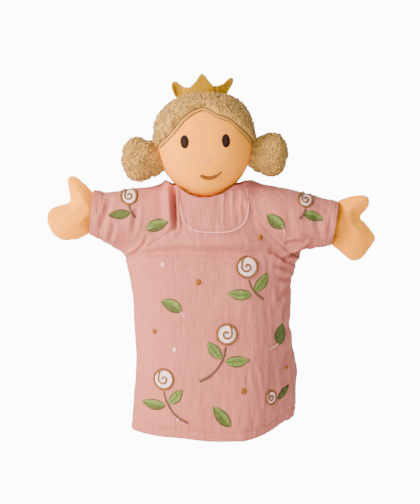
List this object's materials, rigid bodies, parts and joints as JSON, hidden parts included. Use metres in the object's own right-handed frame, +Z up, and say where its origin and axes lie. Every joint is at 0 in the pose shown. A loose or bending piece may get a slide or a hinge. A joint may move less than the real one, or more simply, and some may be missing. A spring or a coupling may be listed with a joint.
{
  "type": "glove puppet",
  "caption": "Standing cloth glove puppet of a princess: stuffed head with felt crown and hair buns, mitten hands on sleeves, and a hollow embroidered dress that a hand fills.",
  "frame": {"origin": "centre of the footprint on the plane of the dress hem", "axes": "+Z up along the body, -Y the way the face looks, +X to the right as seen from the front"},
  "size_m": [0.25, 0.0908, 0.2799],
  "materials": {
    "dress_cotton": "crinkled matte cotton",
    "skin_jersey": "smooth knitted jersey",
    "hair_boucle": "looped boucle pile",
    "crown_felt": "soft felt",
    "piping": "satin piping",
    "thread_brown": "embroidery thread",
    "thread_green": "embroidery thread",
    "thread_gold": "embroidery thread",
    "thread_cream": "embroidery thread",
    "thread_dark": "embroidery thread",
    "thread_peach": "embroidery thread",
    "stuffing": "polyester fibre",
    "card_tube": "rolled card"
  },
  "bodies": {
    "torso": {"dress_front": "dress_cotton", "dress_back": "dress_cotton", "hem_band": "dress_cotton", "bib": "dress_cotton", "bib_piping": "piping", "rose_chest": "thread_brown", "rose_waist": "thread_brown", "rose_lower": "thread_brown", "rose_side": "thread_brown", "dress_leaves": "thread_green", "dress_stems": "thread_brown", "dress_knots": "thread_gold", "dress_beads": "thread_cream"},
    "neck": {"neck_collar": "dress_cotton"},
    "head": {"head_stuffing": "stuffing", "finger_tube": "card_tube", "face_cover": "skin_jersey", "hair_cap": "hair_boucle", "hairline_binding": "hair_boucle", "left_bun_cover": "hair_boucle", "left_bun_stuffing": "stuffing", "right_bun_cover": "hair_boucle", "right_bun_stuffing": "stuffing", "crown": "crown_felt", "left_eye": "thread_dark", "right_eye": "thread_dark", "nose": "thread_peach", "mouth": "thread_brown"},
    "left_arm": {"left_sleeve": "dress_cotton", "left_cuff": "dress_cotton", "left_sleeve_rose": "thread_brown", "left_sleeve_leaves": "thread_green"},
    "right_arm": {"right_sleeve": "dress_cotton", "right_cuff": "dress_cotton", "right_sleeve_rose": "thread_brown", "right_sleeve_leaves": "thread_green"},
    "left_hand": {"left_hand_front": "skin_jersey", "left_hand_back": "skin_jersey", "left_hand_stuffing": "stuffing"},
    "right_hand": {"right_hand_front": "skin_jersey", "right_hand_back": "skin_jersey", "right_hand_stuffing": "stuffing"}
  },
  "joints": [
    {"name": "head_turn", "type": "hinge", "parent": "torso", "child": "neck", "pos_m": [-0.005, 0, 0.18], "axis": [0, 0, 1], "range_deg": [-40, 40]},
    {"name": "head_nod", "type": "hinge", "parent": "neck", "child": "head", "pos_m": [-0.005, 0, 0.206], "axis": [1, 0, 0], "range_deg": [-15, 25]},
    {"name": "left_arm_raise", "type": "hinge", "parent": "torso", "child": "left_arm", "pos_m": [-0.0612, 0, 0.1735], "axis": [0, 1, 0], "range_deg": [-50, 32]},
    {"name": "right_arm_raise", "type": "hinge", "parent": "torso", "child": "right_arm", "pos_m": [0.0612, 0, 0.1735], "axis": [0, -1, 0], "range_deg": [-35, 42]},
    {"name": "left_hand_fold", "type": "hinge", "parent": "left_arm", "child": "left_hand", "pos_m": [-0.09308, 0, 0.17629], "axis": [0.0872, 0, 0.9962], "range_deg": [-20, 44]},
    {"name": "right_hand_fold", "type": "hinge", "parent": "right_arm", "child": "right_hand", "pos_m": [0.09714, 0, 0.16716], "axis": [-0.1736, 0, -0.9848], "range_deg": [-20, 44]}
  ]
}
